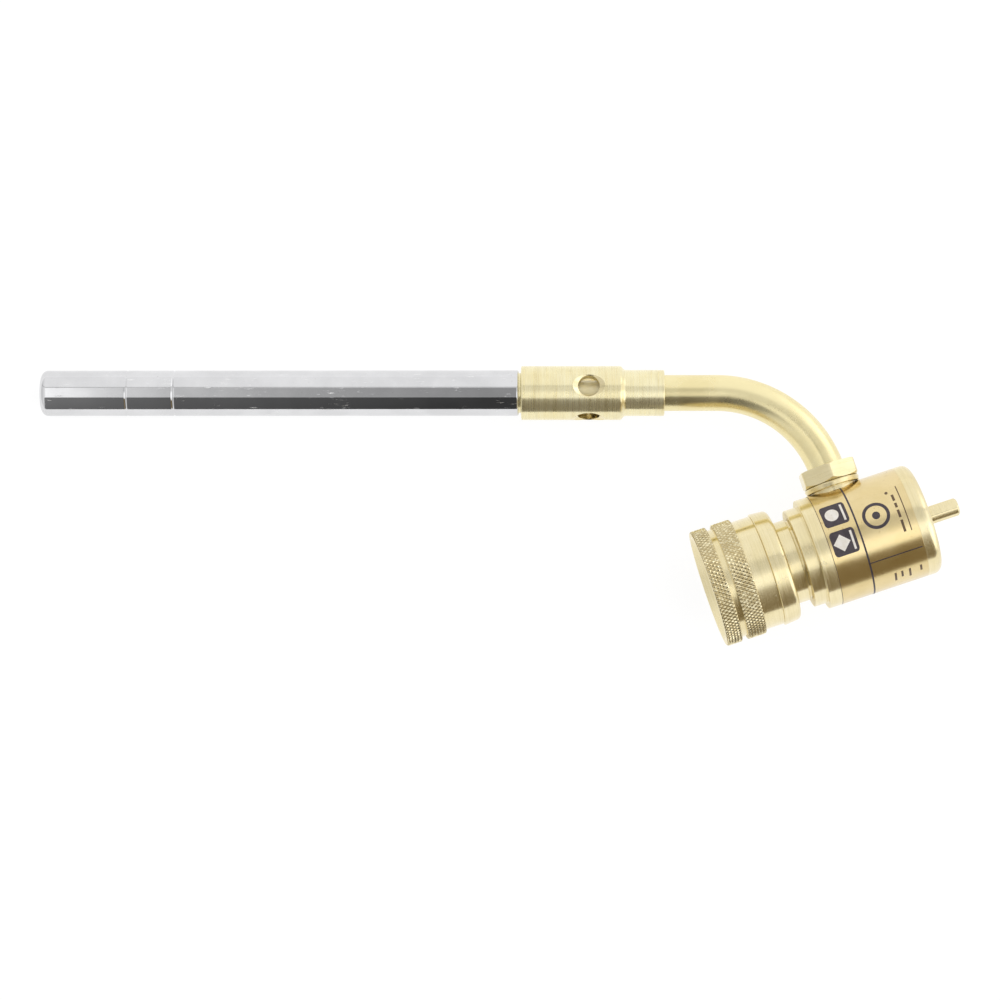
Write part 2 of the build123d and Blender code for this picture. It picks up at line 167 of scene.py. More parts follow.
def propped(outline, longest=0.5, prop=0.1):
    """The same closed outline with points near the ends of long runs, which keep them straight."""
    done = []
    for i, corner in enumerate(outline):
        here, after = Vector(corner), Vector(outline[(i + 1) % len(outline)])
        done.append(tuple(here))
        way = after - here
        if way.length > longest:
            done += [tuple(here + way.normalized() * prop), tuple(after - way.normalized() * prop)]
    return done


def ring_faces(rings, steps):
    """Faces between neighbouring rings of points, and from the last ring to the first."""
    faces = []
    for ring in range(rings):
        near, far = ring * steps, (ring + 1) % rings * steps
        for step in range(steps):
            beside = (step + 1) % steps
            faces.append((near + step, far + step, far + beside, near + beside))
    return faces


def spun(section, outline, steps, carve=None):
    """A closed outline of (distance, radius) points turned about a section's axis.

    carve(distance, radius, angle) gives the radius to use instead.
    """
    points = []
    outline = propped(outline)
    for distance, radius in outline:
        for step in range(steps):
            angle = TURN * step / steps
            r = carve(distance, radius, angle) if carve else radius
            points.append(section.at(distance, r, angle))
    return points, ring_faces(len(outline), steps)


def eased(outline, radius=0.15, steps=3):
    """The same closed outline with its corners rounded."""
    done = []
    for i, corner in enumerate(outline):
        before, after = Vector(outline[i - 1]), Vector(outline[(i + 1) % len(outline)])
        corner = Vector(corner)
        inwards, outwards = before - corner, after - corner
        reach = min(radius, inwards.length / 2.5, outwards.length / 2.5)
        first = corner + inwards.normalized() * reach
        last = corner + outwards.normalized() * reach
        for step in range(steps + 1):
            t = step / steps
            done.append(tuple(first * (1 - t) ** 2 + corner * 2 * t * (1 - t) + last * t**2))
    return done


def settled(made):
    """Apply a piece's modifiers."""
    depsgraph = bpy.context.evaluated_depsgraph_get()
    mesh = bpy.data.meshes.new_from_object(made.evaluated_get(depsgraph))
    made.modifiers.clear()
    made.data = mesh


def finished(made, material, *nodes):
    """Give a piece its material and let it stand for its CAD nodes."""
    made.data.materials.clear()
    made.data.materials.append(material)
    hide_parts(*nodes)


def refinished(made, material, section, chosen):
    """A second material for the faces that chosen(distance, radius) picks."""
    made.data.materials.append(material)
    for face in made.data.polygons:
        offset = face.center - section.origin
        distance = offset.dot(section.along)
        radius = (offset - section.along * distance).length
        if chosen(distance / MM, radius / MM):
            face.material_index = 1


def run(start, end, step):
    """Evenly spaced distances from start to end."""
    count = max(1, round(abs(end - start) / step))
    return [start + (end - start) * i / count for i in range(count + 1)]


# ---- materials ----
class Nodes:
    """A node tree with short calls: a value that is a socket is linked, and any other is set."""

    def __init__(self, tree):
        self.tree = tree
        tree.nodes.clear()

    def add(self, kind, *values, **settings):
        node = self.tree.nodes.new(kind)
        for key, value in settings.items():
            setattr(node, key, value)
        for socket, value in zip(node.inputs, values):
            self.put(socket, value)
        return node

    def put(self, socket, value):
        if isinstance(value, bpy.types.NodeSocket):
            self.tree.links.new(value, socket)
        elif value is not None:
            socket.default_value = value

    def math(self, operation, *values):
        """A Math node's result."""
        return self.add("ShaderNodeMath", *values, operation=operation).outputs[0]

    def ease(self, value, low, high, to_low=0.0, to_high=1.0):
        """A smooth step, from to_low at low to to_high at high."""
        node = self.add("ShaderNodeMapRange", interpolation_type="SMOOTHSTEP")
        for socket, number in zip(node.inputs, (value, low, high, to_low, to_high)):
            self.put(socket, number)
        return node.outputs[0]

    def band(self, value, low, high, soft):
        """1 between low and high, 0 outside, with edges soft wide."""
        up = self.ease(value, low - soft / 2, low + soft / 2)
        down = self.ease(value, high - soft / 2, high + soft / 2, 1.0, 0.0)
        return self.math("MULTIPLY", up, down)

    def noise(self, vector, scale, detail=2.0, roughness=0.5):
        """Noise from 0 to 1; scale is in lumps per unit of the vector."""
        node = self.add("ShaderNodeTexNoise")
        self.put(node.inputs["Vector"], vector)
        node.inputs["Scale"].default_value = scale
        node.inputs["Detail"].default_value = detail
        node.inputs["Roughness"].default_value = roughness
        return node.outputs["Fac"]

    def ramp(self, value, stops):
        """Grey levels at chosen values, with straight lines between them; levels reach 2."""
        low, high = min(stops), max(stops)
        node = self.add("ShaderNodeValToRGB")
        for i, (place, level) in enumerate(sorted(stops.items())):
            at = (place - low) / (high - low)
            stop = node.color_ramp.elements[i] if i == 0 else node.color_ramp.elements.new(at)
            stop.position = at
            stop.color = rgb(level / 2, level / 2, level / 2)
        node.color_ramp.elements.remove(node.color_ramp.elements[-1])
        self.put(node.inputs[0], self.add("ShaderNodeMapRange", value, low, high).outputs[0])
        twice = self.add("ShaderNodeVectorMath", node.outputs[0], (2, 2, 2), operation="MULTIPLY")
        return twice.outputs[0]

    def mix(self, factor, first, second):
        """The first colour at factor 0, the second at 1."""
        node = self.add("ShaderNodeMix", data_type="RGBA")
        for socket, value in zip((0, 6, 7), (factor, first, second)):  # 6 and 7 are its colours
            self.put(node.inputs[socket], value)
        return node.outputs[2]


def rgb(red, green, blue):
    return (red, green, blue, 1.0)


class Finish(Nodes):
    """A material on the Principled shader, with helpers for places on the torch."""

    def __init__(self, name, **constants):
        self.material = bpy.data.materials.new(name)
        self.material.use_nodes = True
        super().__init__(self.material.node_tree)
        self.shader = self.add("ShaderNodeBsdfPrincipled")
        self.add("ShaderNodeOutputMaterial", self.shader.outputs[0])
        for key, value in constants.items():
            self.shader.inputs[key.replace("_", " ").title()].default_value = value
        self.place = self.add("ShaderNodeTexCoord").outputs["Object"]

    def set(self, name, value):
        """Link or set one of the shader's sockets."""
        self.put(self.shader.inputs[name], value)

    def offset(self, section):
        """A socket for the vector from a section's origin, in metres."""
        node = self.add("ShaderNodeVectorMath", self.place, section.origin, operation="SUBTRACT")
        return node.outputs[0]

    def polar(self, section):
        """Sockets for the distance along a section, in millimetres, and the angle, in turns."""
        offset = self.offset(section)

        def part(way):
            dot = self.add("ShaderNodeVectorMath", offset, way, operation="DOT_PRODUCT")
            return self.math("MULTIPLY", dot.outputs["Value"], 1 / MM)

        angle = self.math("ARCTAN2", part(section.side), part(section.up))
        return part(section.along), self.math("MULTIPLY", angle, 1 / TURN)

    def radius(self, section):
        """A socket for the distance from a section's axis, in millimetres."""
        offset = self.offset(section)
        off = self.add("ShaderNodeVectorMath", offset, section.along, operation="CROSS_PRODUCT")
        length = self.add("ShaderNodeVectorMath", off.outputs[0], operation="LENGTH")
        return self.math("MULTIPLY", length.outputs["Value"], 1 / MM)

    def around(self, distance, turn, along_scale, turn_scale):
        """A vector for noise that has its own scale along and around a section."""
        node = self.add("ShaderNodeCombineXYZ")
        self.put(node.inputs[0], self.math("MULTIPLY", distance, along_scale))
        angle = self.math("MULTIPLY", turn, TURN)
        for socket, wave in zip(node.inputs[1:], ("COSINE", "SINE")):
            self.put(socket, self.math("MULTIPLY", self.math(wave, angle), turn_scale))
        return node.outputs[0]

    def bump(self, height, depth):
        """Relief: height 1 stands depth millimetres above height 0."""
        node = self.add("ShaderNodeBump")
        node.inputs["Strength"].default_value = 1.0
        node.inputs["Distance"].default_value = depth * MM
        self.put(node.inputs["Height"], height)
        self.set("Normal", node.outputs[0])


def turned_metal(name, section, light, dark, roughness, marks=0.5, streak=6.0, scored=0.07):
    """Metal from a lathe: fine rings round the axis, soft colour change and a few stains.

    marks scales the rings' depth, streak is their number to the millimetre, and scored is how
    dark the wider bands are.
    """
    finish = Finish(name, metallic=1.0, anisotropic=0.93)
    lay = section.along + section.up * 0.03  # the axis alone gives end faces no tangent
    finish.set("Tangent", finish.add("ShaderNodeCombineXYZ", *lay).outputs[0])
    distance, turn = finish.polar(section)
    rings = finish.noise(finish.around(distance, turn, streak, 0.35), 1.0, 6.0, 0.65)
    cloud = finish.noise(finish.place, 90.0, 3.0)
    stain = finish.ease(finish.noise(finish.place, 420.0, 4.0, 0.6), 0.60, 0.78)
    tone = finish.math(
        "ADD", finish.math("MULTIPLY", rings, 0.45), finish.math("MULTIPLY", cloud, 0.55)
    )
    colour = finish.mix(finish.ease(tone, 0.35, 0.65), rgb(*dark), rgb(*light))
    darker = rgb(*[level * 0.72 for level in dark])
    colour = finish.mix(finish.math("MULTIPLY", stain, 0.25), colour, darker)
    score = finish.noise(finish.around(distance, turn, 0.9, 0.6), 1.0, 5.0, 0.75)
    score = finish.math("MULTIPLY", finish.ease(score, 0.46, 0.64), scored)
    colour = finish.mix(score, colour, rgb(dark[0] * 0.5, dark[1] * 0.42, dark[2] * 0.3))
    finish.set("Base Color", colour)
    rough = finish.math("MULTIPLY_ADD", rings, roughness * 0.7, roughness * 0.65)
    rough = finish.math("MULTIPLY_ADD", stain, 0.10, rough)
    finish.set("Roughness", rough)
    finish.bump(rings, marks * 0.004)
    return finish.material


BRASS_LIGHT, BRASS_DARK = (0.89, 0.79, 0.51), (0.81, 0.70, 0.41)


def chrome(name, section):
    """Bright plating with haze, fine rubbing round it, a few nicks and patches of scratches."""
    finish = Finish(name, metallic=1.0)
    distance, turn = finish.polar(section)
    haze = finish.noise(finish.place, 130.0, 3.0)
    rub = finish.noise(finish.around(distance, turn, 0.35, 9.0), 1.0, 5.0, 0.7)
    nick = finish.ease(finish.noise(finish.place, 1500.0, 2.0), 0.72, 0.80)
    colour = finish.mix(finish.ease(haze, 0.3, 0.7), rgb(0.66, 0.66, 0.67), rgb(0.72, 0.72, 0.73))
    colour = finish.mix(finish.math("MULTIPLY", nick, 0.5), colour, rgb(0.35, 0.34, 0.33))
    swept_round = finish.noise(finish.around(distance, turn, 0.28, 16.0), 1.0, 3.0, 0.6)
    patch = finish.ease(finish.noise(finish.place, 160.0, 2.0), 0.48, 0.62)
    scratch = finish.math("MULTIPLY", finish.ease(swept_round, 0.60, 0.66), patch)
    colour = finish.mix(finish.math("MULTIPLY", scratch, 0.6), colour, rgb(0.88, 0.88, 0.88))
    finish.set("Base Color", colour)
    rough = finish.math("MULTIPLY_ADD", rub, 0.08, 0.02)
    finish.set("Roughness", finish.math("MULTIPLY_ADD", scratch, 0.35, rough))
    finish.bump(rub, 0.0015)
    return finish.material


def plain(name, light, dark, metallic, roughness, scale=300.0, depth=0.01):
    """A surface with no lay: soft colour change, a fine grain and uneven roughness.

    scale is the grain's, to the metre, and depth is its relief in millimetres.
    """
    finish = Finish(name, metallic=metallic)
    grain = finish.noise(finish.place, scale, 5.0, 0.6)
    finish.set("Base Color", finish.mix(finish.ease(grain, 0.35, 0.65), rgb(*dark), rgb(*light)))
    finish.set("Roughness", finish.math("MULTIPLY_ADD", grain, 0.2, roughness - 0.1))
    finish.bump(grain, depth)
    return finish.material


def knurled(name, section, crest, pit):
    """Bright worn crests over darker pits."""
    finish = Finish(name, metallic=1.0)
    radius = finish.math("ADD", finish.radius(section), finish.noise(finish.place, 900.0, 3.0))
    crest_r = knurl_r + 0.5  # the noise is 0.5 on average
    worn = finish.ease(radius, crest_r - 0.30, crest_r + 0.02)
    tint = finish.ease(finish.noise(finish.place, 260.0, 3.0), 0.35, 0.65)
    bright = finish.mix(tint, rgb(*[level * 0.94 for level in crest]), rgb(*crest))
    finish.set("Base Color", finish.mix(worn, rgb(*pit), bright))
    finish.set("Roughness", finish.math("MULTIPLY_ADD", worn, -0.16, 0.36))
    return finish.material


def foil(name):
    """Gold foil under a thin clear coat, with soft wrinkles and a few brown specks."""
    finish = Finish(name, metallic=1.0, coat_weight=0.3, coat_roughness=0.08)
    distance, turn = finish.polar(regulator)
    wrinkle = finish.noise(finish.around(distance, turn, 0.12, 2.2), 1.0, 4.0, 0.55)
    speck = finish.ease(finish.noise(finish.place, 900.0, 2.0), 0.66, 0.74)
    tone = finish.ease(wrinkle, 0.35, 0.65)
    colour = finish.mix(tone, rgb(0.75, 0.60, 0.30), rgb(0.80, 0.65, 0.35))
    colour = finish.mix(finish.math("MULTIPLY", speck, 0.3), colour, rgb(0.45, 0.26, 0.08))
    finish.set("Base Color", colour)
    finish.set("Roughness", finish.math("MULTIPLY_ADD", wrinkle, 0.12, 0.16))
    finish.bump(wrinkle, 0.02)
    return finish.material


knurled_brass = knurled("knurled_brass", regulator, (0.91, 0.82, 0.55), (0.60, 0.50, 0.28))
bored_brass = plain("bored_brass", BRASS_LIGHT, BRASS_DARK, 1.0, 0.20, 400.0, 0.003)
# The jet holder's brass is painted paler and less metallic than the rest. This is painted light: it keeps the
# holder bright inside the shade of the air holes.
jet_brass_painted_pale = plain("jet_brass_painted_pale", (0.98, 0.90, 0.62), (0.93, 0.83, 0.52), 0.2, 0.4, 500.0, 0.004)
drawn_brass = plain(
    "drawn_brass", (0.90, 0.80, 0.47), (0.85, 0.74, 0.41), 1.0, 0.27, 110.0, 0.002
)
regulator_brass = turned_metal(
    "regulator_brass", regulator, BRASS_LIGHT, BRASS_DARK, 0.24, marks=1.0, streak=3.0
)
burner_brass = turned_metal(
    "burner_brass", burner, (0.92, 0.85, 0.57), (0.85, 0.75, 0.44), 0.28,
    marks=2.2, streak=2.2, scored=0.15,
)
outlet_brass = turned_metal("outlet_brass", outlet, BRASS_LIGHT, BRASS_DARK, 0.30)
inner_brass = turned_metal(
    "inner_brass", regulator, (0.80, 0.64, 0.36), (0.70, 0.53, 0.27), 0.3, marks=1.0
)
chrome_steel = chrome("chrome_steel", burner)
label_gold = foil("label_gold")
steel = plain("ground_steel", (0.62, 0.63, 0.65), (0.50, 0.51, 0.53), 1.0, 0.3, 800.0, 0.004)
rubber = plain("nitrile_rubber", (0.03, 0.03, 0.032), (0.018, 0.018, 0.02), 0.0, 0.6, 900.0, 0.01)
nylon = plain("moulded_nylon", (0.80, 0.77, 0.70), (0.74, 0.71, 0.63), 0.0, 0.45, 500.0, 0.005)
sinter = plain("sintered_bronze", (0.62, 0.42, 0.22), (0.36, 0.23, 0.12), 1.0, 0.5, 4000.0, 0.08)

slot_materials = {
    "chrome_tube": chrome_steel,
    "inner_brass": inner_brass,
    "drawn_brass": burner_brass,
    "knurled_brass": regulator_brass,
    "label_foil": label_gold,
    "spring_steel": steel,
    "hard_steel": steel,
    "black_rubber": rubber,
    "seat_nylon": nylon,
    "sintered_bronze": sinter,
    "bright_brass": regulator_brass,
}
for part in frame["record"]["subparts"]:
    node = frame["nodes"][part["node"]]
    node.data.materials.clear()
    node.data.materials.append(slot_materials[part["material_slot"]])
frame["nodes"]["jet_holder"].data.materials[0] = jet_brass_painted_pale

# ---- coupling nut: diamond knurl outside, cylinder thread inside ----
KNURLS, AXIAL_PITCH, KNURL_DEPTH = 90, 1.6, 0.38
CELL = 6  # grid steps to one knurl
CREST_ROUNDING = 1.6  # 1 gives sharp crests, and more gives rounder ones
THREAD_DEPTH, THREAD_RUN_OUT, THREAD_STEPS = 0.55, 0.6, 8  # the steps are to one pitch


def fold(x):
    """0 at every whole number, 1 half way between them."""
    return 1 - 2 * abs(x - math.floor(x) - 0.5)


def ridge(x, flat=0.2):
    """A thread's profile for one pitch of x: 0 along the crest, 1 at the root."""
    return max(0.0, min(1.0, (1 + 3 * flat) * fold(x) - flat))


def nut_shape(distance, radius, angle):
    """The coupling nut's radius, with its thread and its two knurled bands cut."""
    if abs(radius - thread_r) < ON_RADIUS:
        from_end = min(distance - thread_start, thread_end - distance)
        lead = min(1.0, from_end / THREAD_RUN_OUT)
        root = ridge(distance / thread_pitch - angle / TURN)
        return radius + THREAD_DEPTH * root * max(0.0, lead)
    in_band = 0 <= distance <= knurl_1 or groove <= distance <= knurl_2
    if radius < groove_r + 0.05 or not in_band:
        return radius
    u, v = angle / TURN * KNURLS, distance / AXIAL_PITCH
    height = 1 - (1 - min(fold(u + v), fold(u - v))) ** CREST_ROUNDING
    return min(radius, knurl_r - KNURL_DEPTH * (1 - height))


def knurl_band(start, end):
    """Outline points of a knurled band with its chamfers, close enough for the knurls."""
    edge = knurl_r - knurl_chamfer
    done = [(start, edge)]
    for s in run(start, end, AXIAL_PITCH / CELL)[1:-1]:
        done.append((s, min(knurl_r, edge + s - start, edge + end - s)))
    return done + [(end, edge)]


def quarter(distance, radius, size, steps=8):
    """A quarter round from a barrel's side to its end face."""
    done = []
    for i in range(steps + 1):
        turn = TURN / 4 * i / steps
        across, down = size * math.sin(turn), size * math.cos(turn)
        done.append((distance - size + across, radius - size + down))
    return done


outline = [(0, thread_r + thread_start + 0.05)]  # a 45 degree mouth leads to the thread
outline += knurl_band(0, knurl_1) + [(knurl_1, groove_r), (groove, groove_r)]
outline += knurl_band(groove, knurl_2)
outline += [(knurl_2, front_r), (nut_seam - 0.08, front_r), (nut_seam, front_r - 0.1)]
outline += [(nut_seam + 0.04, back_r - 0.2), (nut_seam + 0.2, back_r)]
outline += quarter(nut_end, back_end_r, 1.4)
outline += [(nut_end, journal_r), (nut_wall, journal_r), (nut_wall, relief_r)]
outline += [(thread_end, relief_r)]
thread_step = thread_pitch / THREAD_STEPS
outline += [(s, thread_r) for s in run(thread_end, thread_start, thread_step)]
points, faces = spun(regulator, outline, KNURLS * CELL, carve=nut_shape)
coupling = piece("coupling_nut_knurled", points, faces, "coupling")
finished(coupling, regulator_brass, "coupling_nut")


def on_knurl(distance, radius):
    """Whether a face of the coupling nut is in a knurled band, and not on the band's ends."""
    inset = 0.05
    in_first = inset < distance < knurl_1 - inset
    in_second = groove + inset < distance < knurl_2 - inset
    return (in_first or in_second) and radius > groove_r + 0.2


refinished(coupling, knurled_brass, regulator, on_knurl)

# ---- burner: tube, mixer, gas tube ----
ROUND = 144  # steps round a turned piece
CRIMP_DEPTHS, CRIMP_STEPS = (0.0975, 0.15), 6  # the steps are to one side of a crimp
LIP_BEND = 1.1
DRILL_START, DRILL_CLEAR = 2, 1  # off the burner's axis, and beyond the mixer's outside
DRILL_CORE = 0.001  # a solid piece's outline starts just off its own axis


def crimped(radius):
    """Outline points of a wall with the two crimped rings rolled in."""
    done = []
    for crimp, depth in zip(crimps, CRIMP_DEPTHS):
        for i in range(-CRIMP_STEPS, CRIMP_STEPS + 1):
            x = i / CRIMP_STEPS
            dip = depth * (math.cos(x * math.pi) + 1) / 2
            done.append((crimp + x * crimp_half, radius - dip))
    return done


bend = quarter(LIP_BEND, tube_bore, LIP_BEND)
outline = [(lip_wall + LIP_BEND - s, r) for s, r in bend]
outline += [(lip_wall, lip_bore), (lip_wall - 0.1, lip_bore), (0.1, lip_bore), (0, lip_bore + 0.1)]
outline += [(-s, r) for s, r in reversed(quarter(0, tube_r, tip_round))]
outline += crimped(tube_r) + quarter(tube_length, tube_r, tail_round)
outline += [(tube_length, tube_bore)] + list(reversed(crimped(tube_bore)))
points, faces = spun(burner, outline, ROUND)
tube = piece("burn_tube_rolled", points, faces, "burner", smooth_below=40)
finished(tube, chrome_steel, "burn_tube")

outline = [
    (spigot_end, tube_bore - 0.7),
    (spigot_end + 0.7, tube_bore),
    (mixer_start, tube_bore),
    (mixer_start, mixer_r),
    (mixer_step, mixer_r),
    (mixer_step + mixer_cone, mixer_tail_r),
    (mixer_end, mixer_tail_r),
    (mixer_end, gas_tube_r),
    (gas_tube_in, gas_tube_r),
    (gas_tube_in, jet_thread_r),
    (chamber_end, jet_thread_r),
    (chamber_end, chamber_r),
    (chamber_start, chamber_r),
    (throat_end, throat_r),
    (throat_start, throat_r),
    (spigot_end, tube_bore - 1.4),
]
points, faces = spun(burner, eased(outline, radius=0.35), ROUND)
mixer = piece("mixer_turned", points, faces, "burner")
sink_slope = math.tan(math.radians(air_sink_angle / 2))
sink = (air_sink_r - air_r) / sink_slope
drill_shape = [
    (DRILL_START, DRILL_CORE),
    (DRILL_START, air_r),
    (mixer_r - sink, air_r),
    (mixer_r + DRILL_CLEAR, air_sink_r + DRILL_CLEAR * sink_slope),
    (mixer_r + DRILL_CLEAR, DRILL_CORE),
]
for hole in range(air_count):
    angle = math.radians(air_turn + hole * 360 / air_count)
    drill = Section(burner.at(air_at), burner.at(0, 1, angle) - burner.at(0), 0)
    drill.face(burner.along)
    cut_points, cut_faces = spun(drill, drill_shape, steps=96)
    bit = bpy.data.meshes.new("bit")
    bit.from_pydata([tuple(point) for point in cut_points], [], cut_faces)
    cutter = bpy.data.objects.new("bit", bit)
    bpy.context.scene.collection.objects.link(cutter)
    cut = mixer.modifiers.new("air_hole", "BOOLEAN")
    cut.operation, cut.object, cut.solver = "DIFFERENCE", cutter, "EXACT"
    settled(mixer)
    bpy.data.objects.remove(cutter)
cleaned(mixer.data, CUT_JOINED)
finished(mixer, burner_brass, "mixer_body")


def in_air_hole(distance, radius):
    """Whether a face of the mixer is in an air hole's bore or countersink."""
    return abs(distance - air_at) < air_sink_r and chamber_r + 0.05 < radius < mixer_r - 0.06


refinished(mixer, bored_brass, burner, in_air_hole)


BEND_STEPS, BEND_GAP = 48, 0.5  # the straight runs stop a gap short of the bend


def bend_path():
    """Points and directions down the middle of the gas tube."""
    middle = burner.at(bend_start) - burner.side * bend_radius * MM
    turn = math.acos(burner.along.dot(outlet.along * -1))
    straight = run(gas_tube_in, bend_start - BEND_GAP, 2.0)
    route = [(burner.at(s), burner.along) for s in straight]
    for i in range(BEND_STEPS + 1):
        a = turn * i / BEND_STEPS
        out = burner.side * math.cos(a) + burner.along * math.sin(a)
        way = burner.along * math.cos(a) - burner.side * math.sin(a)
        route.append((middle + out * bend_radius * MM, way))
    for s in run(bend_end - BEND_GAP, gas_tube_end, 0.8):
        route.append((outlet.at(s), -outlet.along))
    return route


def swept(route, radii, steps):
    """A tube along a route: outer wall, end, inner wall and the other end."""
    points = []
    up = torch_normal
    outer, inner = radii
    walls = [(place, way, outer) for place, way in route]
    walls += [(place, way, inner) for place, way in reversed(route)]
    for place, way, radius in walls:
        side = up.cross(way).normalized()
        for step in range(steps):
            a = TURN * step / steps
            points.append(place + (up * math.cos(a) + side * math.sin(a)) * radius * MM)
    return points, ring_faces(len(walls), steps)


points, faces = swept(bend_path(), (gas_tube_r, gas_tube_bore), steps=96)
gas_pipe = piece("gas_tube_bent", points, faces, "burner", smooth_below=40)
finished(gas_pipe, drawn_brass, "gas_tube")

# ---- outlet: nipple and hex union nut ----
outline = [
    (outlet_in, outlet_bore),
    (outlet_in, outlet_tail_r),
    (outlet_seat, outlet_tail_r),
    (outlet_seat, outlet_neck_r),
    (collar_start, outlet_neck_r),
    (collar_start, collar_foot_r),
    (collar_end - 0.3, collar_r),
    (collar_end, collar_r - 0.3),
    (collar_end, outlet_thread_r),
    (outlet_top - 0.3, outlet_thread_r),
    (outlet_top, outlet_thread_r - 0.3),
    (outlet_top, gas_tube_r + running),
    (outlet_socket, gas_tube_r + running),
    (outlet_socket, outlet_bore),
]
points, faces = spun(outlet, eased(outline, radius=0.12), ROUND)
nipple = piece("outlet_nipple_turned", points, faces, "regulator")
finished(nipple, outlet_brass, "outlet_nipple")

corner_r = hex_flats / math.sqrt(3)
CORNER_CUT, CORNER_WAVE = 0.12, 0.05  # how far the hexagon's corners are cut back and rounded
TOP_FALL = 0.0725  # how far the top chamfer goes in, in corner radii


def hexed(_distance, radius, angle):
    """The radius kept inside a hexagon; the thread's bore stays round."""
    if radius < outlet_thread_r + 0.2:
        return radius
    half_facet = TURN / 12
    from_flat = (angle % (TURN / 6)) - half_facet
    flat = hex_flats / 2 / math.cos(from_flat)
    corner = corner_r - CORNER_CUT - CORNER_WAVE * abs(math.sin(from_flat * 6))
    return min(radius, flat, corner)


flat_r = hex_flats / 2
corner_rise = corner_r - flat_r
rise = corner_rise * math.tan(math.radians(30))
outline = [(hex_start, outlet_thread_r + running), (hex_start, flat_r - 0.25)]
outline += [(hex_start + rise * t, flat_r + corner_rise * t) for t in run(0, 1.15, 0.12)]
outline += [(s, corner_r + 0.3) for s in run(hex_start + 1.2 * rise, hex_top - 0.7 * rise, 0.2)]
outline += [
    (hex_top - 0.5 * rise * t, corner_r - TOP_FALL * (1 - t) * corner_r)
    for t in run(1.15, 0, 0.12)
]
outline += [(hex_top, hex_hole_r + 0.2), (hex_top - 0.2, hex_hole_r)]
outline += [(hex_lip, hex_hole_r), (hex_lip, outlet_thread_r + running)]
points, faces = spun(outlet, outline, steps=180, carve=hexed)
union_nut = piece(
    "swivel_nut_hex", points, faces, "union_nut", smooth_below=25
)
finished(union_nut, outlet_brass, "swivel_nut")

# ---- regulator: body, cap, label, stem ----
outline = [
    (neck_start, tail_r),
    (neck_start, neck_r),
    (neck_end, neck_r),
    (neck_end, undercut_r),
    (flange_start, undercut_r),
    (flange_start, flange_r),
    (flange_end, flange_r),
    (flange_end, body_r),
    (label_start, body_r),
    (label_start, label_r),
    (body_end, label_r),
    (body_end, cup_r),
    (ledge, cup_r),
    (ledge, low_r),
    (web_end, low_r),
    (web_end, web_hole_r),
    (high_end, web_hole_r),
    (high_end, high_r),
    (tail_seat, high_r),
    (tail_seat, tail_r),
]
points, faces = spun(regulator, eased(outline, radius=0.16), ROUND)
shell = piece("regulator_body_turned", points, faces, "regulator")
finished(shell, regulator_brass, "regulator_body")

outline = eased(
    [
        (body_end, cup_r),
        (body_end, label_r),
        (label_end, label_r),
        (label_end, body_r),
        (cap_band_end, body_r),
    ],
    radius=0.05,
)[4:]  # without the first corner, where the rim's inside wall runs straight on
outline += quarter(cap_end, body_r, cap_end - cap_band_end, steps=12)
outline += [
    (cap_end, shank_bore + 0.3),
    (cap_end - 0.3, shank_bore),
    (dust_seal_end, shank_bore),
    (dust_seal_end, dust_seal_r),
    (dust_seal_start, dust_seal_r),
    (dust_seal_start, shank_bore),
    (stem_head_end + running, shank_bore),
    (stem_head_end + running, stem_bore),
    (spring_room_end, stem_bore),
    (spring_room_end, spring_room_r),
    (cap_start, spring_room_r),
    (cap_start, cup_r),
]
points, faces = spun(regulator, outline, ROUND)
cap = piece("regulator_cap_turned", points, faces, "regulator")
finished(cap, regulator_brass, "regulator_cap")


STEM_THREAD_DEPTH, STEM_CORE = 0.35, 0.01


def stem_shape(distance, radius, angle):
    """The stem's radius, with its thread and the stub's flat cut."""
    if abs(radius - stem_thread_r) < ON_RADIUS:
        return radius - STEM_THREAD_DEPTH * ridge(distance / stem_pitch - angle / TURN)
    if distance > stub_start:
        from_flat = (angle - math.radians(flat_turn) + TURN / 2) % TURN - TURN / 2
        if abs(from_flat) < math.radians(flat_half_angle):
            flat = stub_r * math.cos(math.radians(flat_half_angle)) / math.cos(from_flat)
            return min(radius, flat)
    return radius


outline = [(stem_start, STEM_CORE), (stem_start, stem_thread_r - 0.4)]
thread_step = stem_pitch / THREAD_STEPS
outline += [(s, stem_thread_r) for s in run(stem_start + 0.3, stem_head_end - 0.1, thread_step)]
outline += [(stem_head_end, stem_thread_r - 0.4), (stem_head_end, shank_r)]
outline += [(stub_start, shank_r), (stub_start + 0.02, stub_r), (stub_end - stub_chamfer, stub_r)]
outline += [(stub_end, stub_r - stub_chamfer), (stub_end, STEM_CORE)]
points, faces = spun(regulator, outline, steps=120, carve=stem_shape)
stem = piece("valve_stem_turned", points, faces, "stem", smooth_below=25)
finished(stem, regulator_brass, "valve_stem")

outline = eased(
    [(label_start, label_r), (label_start, body_r), (label_end, body_r), (label_end, label_r)],
    radius=0.03,
    steps=2,
)
points, faces = spun(regulator, outline, ROUND)
label = piece("label_wrap", points, faces, "regulator")
finished(label, label_gold, "label_band")

# ---- what is printed on the label: plain shapes, no lettering ----
PRINT_LIFT, OVERPRINT_LIFT, PRINT_SINK = 0.02, 0.035, 0.05
HOOP_STEPS = 40
VERTICAL = math.radians(-4)  # the vertical against the torch's normal


